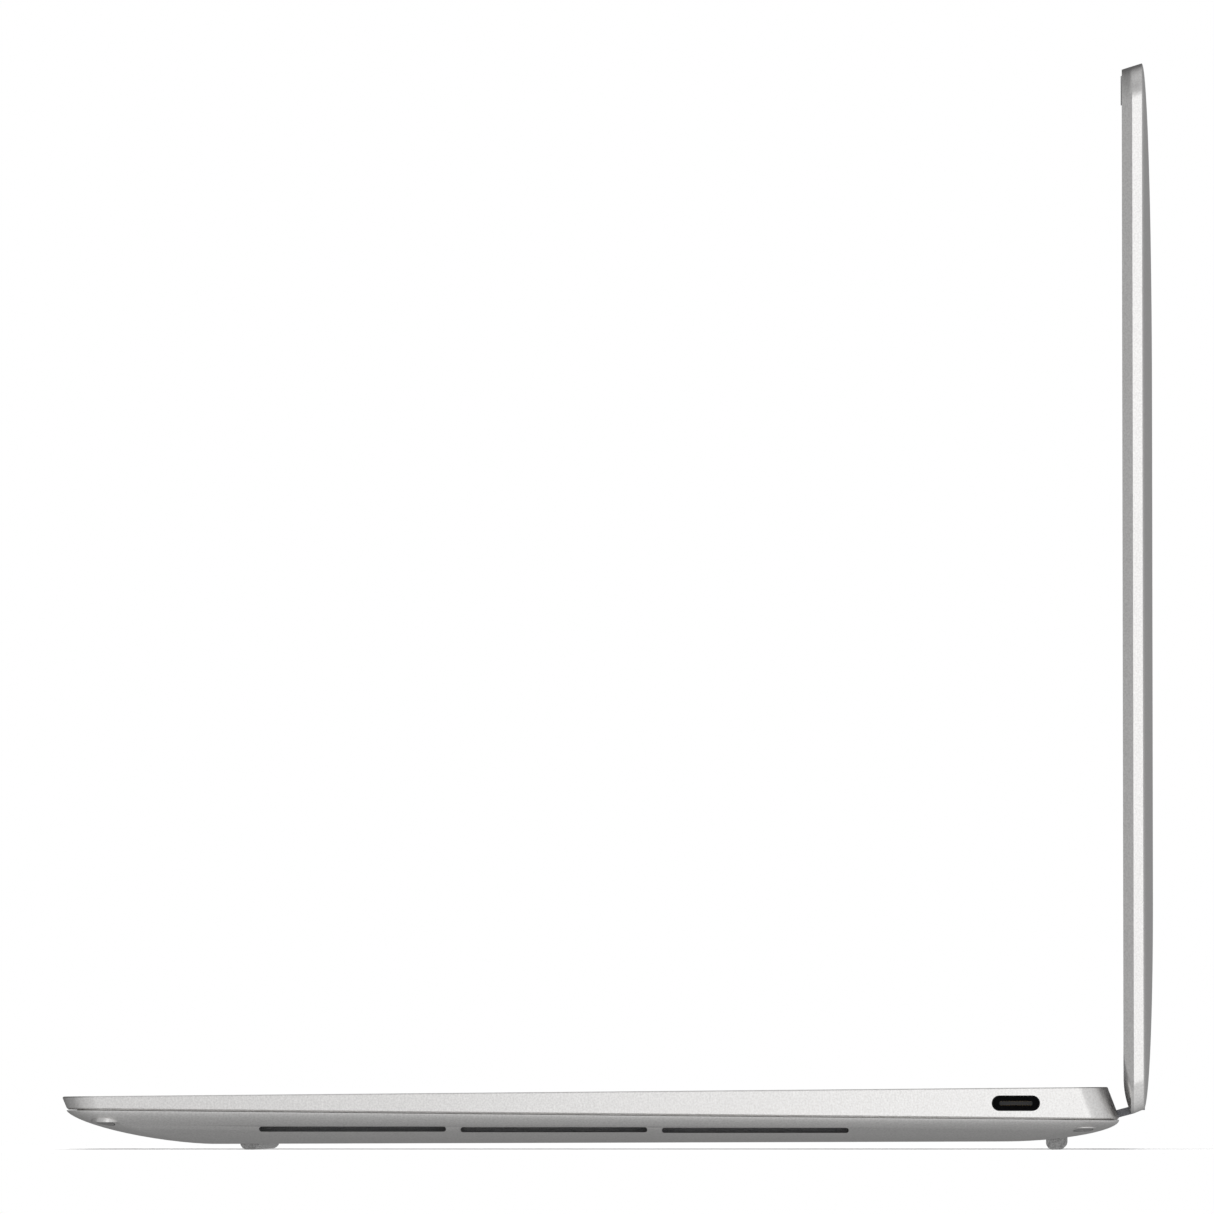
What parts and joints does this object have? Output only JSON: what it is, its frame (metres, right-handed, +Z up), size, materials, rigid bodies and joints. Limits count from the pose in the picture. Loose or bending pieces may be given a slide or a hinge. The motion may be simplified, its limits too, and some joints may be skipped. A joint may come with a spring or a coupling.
{
  "type": "laptop computer",
  "caption": "Thin clamshell laptop: wedge base with keyboard and touchpad, domed bottom cover with side slots, and a lid with a glass-fronted display on a drop hinge.",
  "frame": {"origin": "on the table, under the middle of the open laptop's width and depth", "axes": "+X towards the user's right, +Y from the front edge to the hinge, +Z up"},
  "size_m": [0.2954, 0.2042, 0.2034],
  "materials": {
    "case_aluminium": "bead-blasted anodised aluminium, silver",
    "cover_aluminium": "bead-blasted anodised aluminium, silver",
    "lid_aluminium": "bead-blasted anodised aluminium, silver",
    "foot_rubber": "moulded silicone rubber, matt dark grey",
    "gasket_rubber": "moulded rubber lip, matt black",
    "display_glass": "chemically strengthened cover glass, glossy, black behind",
    "display_panel": "display panel in a black film frame",
    "camera_plastic": "moulded black plastic",
    "hinge_plastic": "moulded dark grey plastic",
    "hinge_steel": "pressed and machined steel, dark finish",
    "plate_steel": "pressed steel, black film",
    "keycap": "moulded plastic, satin silver-grey",
    "touchpad_glass": "etched glass, satin silver",
    "port_steel": "deep-drawn steel shell with a plastic tongue",
    "screw_steel": "nickel-plated steel",
    "battery_wrap": "black film around flat cells",
    "circuit_board": "glass-fibre circuit board with chips",
    "copper": "soldered copper",
    "fan_plastic": "moulded black plastic",
    "speaker_plastic": "moulded black plastic enclosure"
  },
  "bodies": {
    "base": {"top_case": "case_aluminium", "bottom_cover": "cover_aluminium", "front_foot": "foot_rubber", "rear_foot": "foot_rubber", "hinge_bracket_left": "hinge_steel", "hinge_bracket_right": "hinge_steel", "keyboard_plate": "plate_steel", "usb_c_port_left": "port_steel", "usb_c_port_right": "port_steel", "battery": "battery_wrap", "mainboard": "circuit_board", "solid_state_drive": "circuit_board", "cooler": "copper", "fan_housing_left": "fan_plastic", "fan_housing_right": "fan_plastic", "speaker_left": "speaker_plastic", "speaker_right": "speaker_plastic", "cover_screw_front_left": "screw_steel", "cover_screw_front_centre_left": "screw_steel", "cover_screw_front_centre_right": "screw_steel", "cover_screw_front_right": "screw_steel", "cover_screw_rear_left": "screw_steel", "cover_screw_rear_right": "screw_steel"},
    "lid": {"lid_cover": "lid_aluminium", "display_panel": "display_panel", "display_glass": "display_glass", "display_gasket": "gasket_rubber", "camera_module": "camera_plastic", "hinge_cover": "hinge_plastic", "hinge_arm_left": "hinge_steel", "hinge_arm_right": "hinge_steel"},
    "fan_left": {"fan_impeller_left": "fan_plastic"},
    "fan_right": {"fan_impeller_right": "fan_plastic"},
    "touchpad": {"touchpad": "touchpad_glass"},
    "power_button": {"power_button": "keycap"},
    "key_control_left": {"key_control_left": "keycap"},
    "key_function": {"key_function": "keycap"},
    "key_system": {"key_system": "keycap"},
    "key_alt_left": {"key_alt_left": "keycap"},
    "key_space": {"key_space": "keycap"},
    "key_alt_right": {"key_alt_right": "keycap"},
    "key_control_right": {"key_control_right": "keycap"},
    "key_arrow_left": {"key_arrow_left": "keycap"},
    "key_arrow_up": {"key_arrow_up": "keycap"},
    "key_arrow_down": {"key_arrow_down": "keycap"},
    "key_arrow_right": {"key_arrow_right": "keycap"},
    "key_shift_left": {"key_shift_left": "keycap"},
    "keys_lower_row": {"keys_lower_row": "keycap"},
    "key_shift_right": {"key_shift_right": "keycap"},
    "key_caps_lock": {"key_caps_lock": "keycap"},
    "keys_middle_row": {"keys_middle_row": "keycap"},
    "key_enter": {"key_enter": "keycap"},
    "key_tab": {"key_tab": "keycap"},
    "keys_upper_row": {"keys_upper_row": "keycap"},
    "key_backslash": {"key_backslash": "keycap"},
    "keys_number_row": {"keys_number_row": "keycap"},
    "key_backspace": {"key_backspace": "keycap"},
    "key_escape": {"key_escape": "keycap"},
    "keys_function_row": {"keys_function_row": "keycap"},
    "key_delete": {"key_delete": "keycap"}
  },
  "joints": [
    {"name": "lid_hinge", "type": "hinge", "parent": "base", "child": "lid", "pos_m": [0, 0.09202, 0.00754], "axis": [1, 0, 0], "range_deg": [-45, 90.3]},
    {"name": "fan_left_spin", "type": "hinge", "parent": "base", "child": "fan_left", "pos_m": [-0.092, 0.04788, 0.0032], "axis": [0, 0, 1], "continuous": true},
    {"name": "fan_right_spin", "type": "hinge", "parent": "base", "child": "fan_right", "pos_m": [0.092, 0.04788, 0.0032], "axis": [0, 0, 1], "continuous": true},
    {"name": "touchpad_click", "type": "hinge", "parent": "base", "child": "touchpad", "pos_m": [0, -0.02712, 0.00985], "axis": [1, 0, 0], "range_deg": [0, 0.3], "stiffness_Nm_per_rad": 8, "springref_deg": -0.09},
    {"name": "power_button_press", "type": "slide", "parent": "base", "child": "power_button", "axis": [0, 0.0091, -1], "range_m": [0, 0.0005], "stiffness_N_per_m": 1200, "springref_m": -0.0002},
    {"name": "key_control_left_press", "type": "slide", "parent": "base", "child": "key_control_left", "axis": [0, 0.0091, -1], "range_m": [0, 0.001], "stiffness_N_per_m": 500, "springref_m": -0.0003},
    {"name": "key_function_press", "type": "slide", "parent": "base", "child": "key_function", "axis": [0, 0.0091, -1], "range_m": [0, 0.001], "stiffness_N_per_m": 500, "springref_m": -0.0003},
    {"name": "key_system_press", "type": "slide", "parent": "base", "child": "key_system", "axis": [0, 0.0091, -1], "range_m": [0, 0.001], "stiffness_N_per_m": 500, "springref_m": -0.0003},
    {"name": "key_alt_left_press", "type": "slide", "parent": "base", "child": "key_alt_left", "axis": [0, 0.0091, -1], "range_m": [0, 0.001], "stiffness_N_per_m": 500, "springref_m": -0.0003},
    {"name": "key_space_press", "type": "slide", "parent": "base", "child": "key_space", "axis": [0, 0.0091, -1], "range_m": [0, 0.001], "stiffness_N_per_m": 500, "springref_m": -0.0003},
    {"name": "key_alt_right_press", "type": "slide", "parent": "base", "child": "key_alt_right", "axis": [0, 0.0091, -1], "range_m": [0, 0.001], "stiffness_N_per_m": 500, "springref_m": -0.0003},
    {"name": "key_control_right_press", "type": "slide", "parent": "base", "child": "key_control_right", "axis": [0, 0.0091, -1], "range_m": [0, 0.001], "stiffness_N_per_m": 500, "springref_m": -0.0003},
    {"name": "key_arrow_left_press", "type": "slide", "parent": "base", "child": "key_arrow_left", "axis": [0, 0.0091, -1], "range_m": [0, 0.001], "stiffness_N_per_m": 500, "springref_m": -0.0003},
    {"name": "key_arrow_up_press", "type": "slide", "parent": "base", "child": "key_arrow_up", "axis": [0, 0.0091, -1], "range_m": [0, 0.001], "stiffness_N_per_m": 500, "springref_m": -0.0003},
    {"name": "key_arrow_down_press", "type": "slide", "parent": "base", "child": "key_arrow_down", "axis": [0, 0.0091, -1], "range_m": [0, 0.001], "stiffness_N_per_m": 500, "springref_m": -0.0003},
    {"name": "key_arrow_right_press", "type": "slide", "parent": "base", "child": "key_arrow_right", "axis": [0, 0.0091, -1], "range_m": [0, 0.001], "stiffness_N_per_m": 500, "springref_m": -0.0003},
    {"name": "key_shift_left_press", "type": "slide", "parent": "base", "child": "key_shift_left", "axis": [0, 0.0091, -1], "range_m": [0, 0.001], "stiffness_N_per_m": 500, "springref_m": -0.0003},
    {"name": "keys_lower_row_press", "type": "slide", "parent": "base", "child": "keys_lower_row", "axis": [0, 0.0091, -1], "range_m": [0, 0.001], "stiffness_N_per_m": 3000, "springref_m": -0.0003},
    {"name": "key_shift_right_press", "type": "slide", "parent": "base", "child": "key_shift_right", "axis": [0, 0.0091, -1], "range_m": [0, 0.001], "stiffness_N_per_m": 500, "springref_m": -0.0003},
    {"name": "key_caps_lock_press", "type": "slide", "parent": "base", "child": "key_caps_lock", "axis": [0, 0.0091, -1], "range_m": [0, 0.001], "stiffness_N_per_m": 500, "springref_m": -0.0003},
    {"name": "keys_middle_row_press", "type": "slide", "parent": "base", "child": "keys_middle_row", "axis": [0, 0.0091, -1], "range_m": [0, 0.001], "stiffness_N_per_m": 3000, "springref_m": -0.0003},
    {"name": "key_enter_press", "type": "slide", "parent": "base", "child": "key_enter", "axis": [0, 0.0091, -1], "range_m": [0, 0.001], "stiffness_N_per_m": 500, "springref_m": -0.0003},
    {"name": "key_tab_press", "type": "slide", "parent": "base", "child": "key_tab", "axis": [0, 0.0091, -1], "range_m": [0, 0.001], "stiffness_N_per_m": 500, "springref_m": -0.0003},
    {"name": "keys_upper_row_press", "type": "slide", "parent": "base", "child": "keys_upper_row", "axis": [0, 0.0091, -1], "range_m": [0, 0.001], "stiffness_N_per_m": 3000, "springref_m": -0.0003},
    {"name": "key_backslash_press", "type": "slide", "parent": "base", "child": "key_backslash", "axis": [0, 0.0091, -1], "range_m": [0, 0.001], "stiffness_N_per_m": 500, "springref_m": -0.0003},
    {"name": "keys_number_row_press", "type": "slide", "parent": "base", "child": "keys_number_row", "axis": [0, 0.0091, -1], "range_m": [0, 0.001], "stiffness_N_per_m": 3000, "springref_m": -0.0003},
    {"name": "key_backspace_press", "type": "slide", "parent": "base", "child": "key_backspace", "axis": [0, 0.0091, -1], "range_m": [0, 0.001], "stiffness_N_per_m": 500, "springref_m": -0.0003},
    {"name": "key_escape_press", "type": "slide", "parent": "base", "child": "key_escape", "axis": [0, 0.0091, -1], "range_m": [0, 0.001], "stiffness_N_per_m": 500, "springref_m": -0.0003},
    {"name": "keys_function_row_press", "type": "slide", "parent": "base", "child": "keys_function_row", "axis": [0, 0.0091, -1], "range_m": [0, 0.001], "stiffness_N_per_m": 3000, "springref_m": -0.0003},
    {"name": "key_delete_press", "type": "slide", "parent": "base", "child": "key_delete", "axis": [0, 0.0091, -1], "range_m": [0, 0.001], "stiffness_N_per_m": 500, "springref_m": -0.0003}
  ]
}
